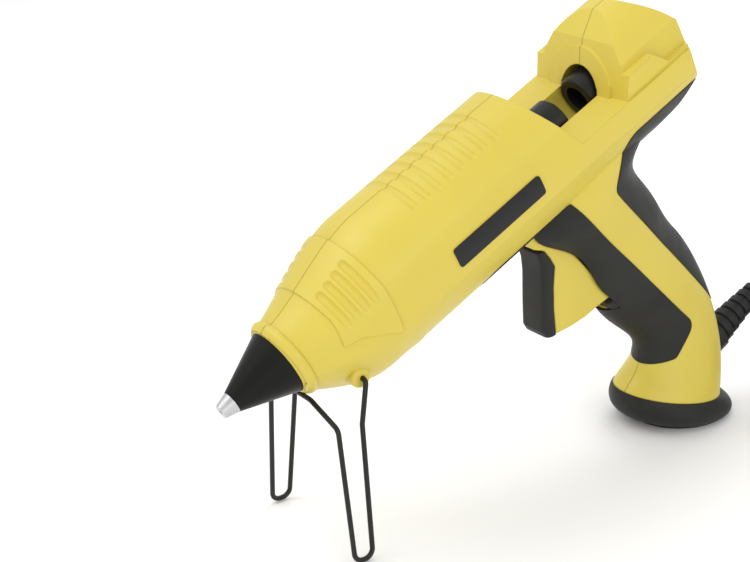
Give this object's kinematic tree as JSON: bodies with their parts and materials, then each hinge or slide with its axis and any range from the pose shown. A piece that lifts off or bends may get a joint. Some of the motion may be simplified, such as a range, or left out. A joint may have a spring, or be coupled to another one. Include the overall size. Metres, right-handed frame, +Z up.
{
  "type": "hot glue gun",
  "caption": "Trigger-fed hot glue gun on a folding wire stand: two-part housing, soft grips, heated nozzle, stick feed, mains cord and plug.",
  "frame": {"origin": "centre of the foot's flat face, on the table", "axes": "+X from the nozzle towards the cord along the table, +Y to the gun's right, +Z up; the barrel is tipped nose-down by 29.3 degrees"},
  "size_m": [0.4311, 0.1127, 0.2216],
  "materials": {
    "yellow_plastic": "satin moulded plastic, fine grain",
    "grip_rubber": "satin soft overmould",
    "tip_metal": "turned and plated",
    "black_silicone": "smooth",
    "aluminium": "as cast",
    "insulator": "pressed mica",
    "black_plastic": "glass-filled",
    "white_insulator": "plain",
    "stand_wire": "satin black",
    "cord_rubber": "satin",
    "lead_sleeve": "glass-fibre sleeve",
    "plug_brass": "plain",
    "steel": "zinc plated"
  },
  "bodies": {
    "gun": {"chamber_plate_front": "insulator", "chamber_plate_rear": "insulator", "clamp_screw_1": "steel", "clamp_screw_2": "steel", "cord_clamp": "black_plastic", "cord_coil": "cord_rubber", "cord_inner": "cord_rubber", "cord_run": "cord_rubber", "cord_tail": "cord_rubber", "foot_cap": "grip_rubber", "foot_screw_1": "steel", "foot_screw_2": "steel", "front_grip_left": "grip_rubber", "front_grip_right": "grip_rubber", "heater_clamp": "aluminium", "heater_element": "white_insulator", "heater_lead_left": "lead_sleeve", "heater_lead_right": "lead_sleeve", "housing_screw_1": "steel", "housing_screw_2": "steel", "housing_screw_3": "steel", "housing_screw_4": "steel", "housing_screw_5": "steel", "housing_screw_6": "steel", "inlet_clip": "aluminium", "inlet_sleeve": "white_insulator", "left_housing": "yellow_plastic", "melt_chamber": "aluminium", "nozzle_ball": "steel", "nozzle_bush": "steel", "nozzle_cone": "black_silicone", "nozzle_spring": "steel", "nozzle_tip": "tip_metal", "plug_body": "cord_rubber", "plug_pin_left": "plug_brass", "plug_pin_right": "plug_brass", "rear_grip_left": "grip_rubber", "rear_grip_right": "grip_rubber", "rear_guide_sleeve": "black_plastic", "right_housing": "yellow_plastic", "strain_relief": "cord_rubber", "supply_lead_left": "lead_sleeve", "supply_lead_right": "lead_sleeve", "terminal_block": "white_insulator", "thermal_fuse": "white_insulator", "trigger_pivot_pin": "steel"},
    "trigger": {"trigger_body": "yellow_plastic", "trigger_pad": "grip_rubber"},
    "feed": {"carriage": "black_plastic", "drive_pin": "steel", "pawl_pin": "steel", "return_spring": "steel"},
    "pawl": {"stick_pawl": "black_plastic"},
    "stand": {"wire_stand": "stand_wire"}
  },
  "joints": [
    {"name": "trigger_pull", "type": "hinge", "parent": "gun", "child": "trigger", "pos_m": [-0.11646, 0, 0.1266], "axis": [0, -1, 0], "range_deg": [0, 20], "stiffness_Nm_per_rad": 0.4, "springref_deg": -10},
    {"name": "feed_slide", "type": "slide", "parent": "gun", "child": "feed", "axis": [-0.8721, 0, -0.4894], "range_m": [0, 0.00458], "deforming": ["return_spring"]},
    {"name": "pawl_grip", "type": "hinge", "parent": "feed", "child": "pawl", "pos_m": [-0.11269, 0, 0.1442], "axis": [0, 1, 0], "range_deg": [0, 6]},
    {"name": "stand_fold", "type": "hinge", "parent": "gun", "child": "stand", "pos_m": [-0.21801, 0, 0.07994], "axis": [0, -1, 0], "range_deg": [0, 105]}
  ],
  "couplings": [
    {"joint": "feed_slide", "follows": "trigger_pull", "m_per_rad": 0.013134},
    {"joint": "pawl_grip", "follows": "trigger_pull", "ratio": 0.3}
  ]
}
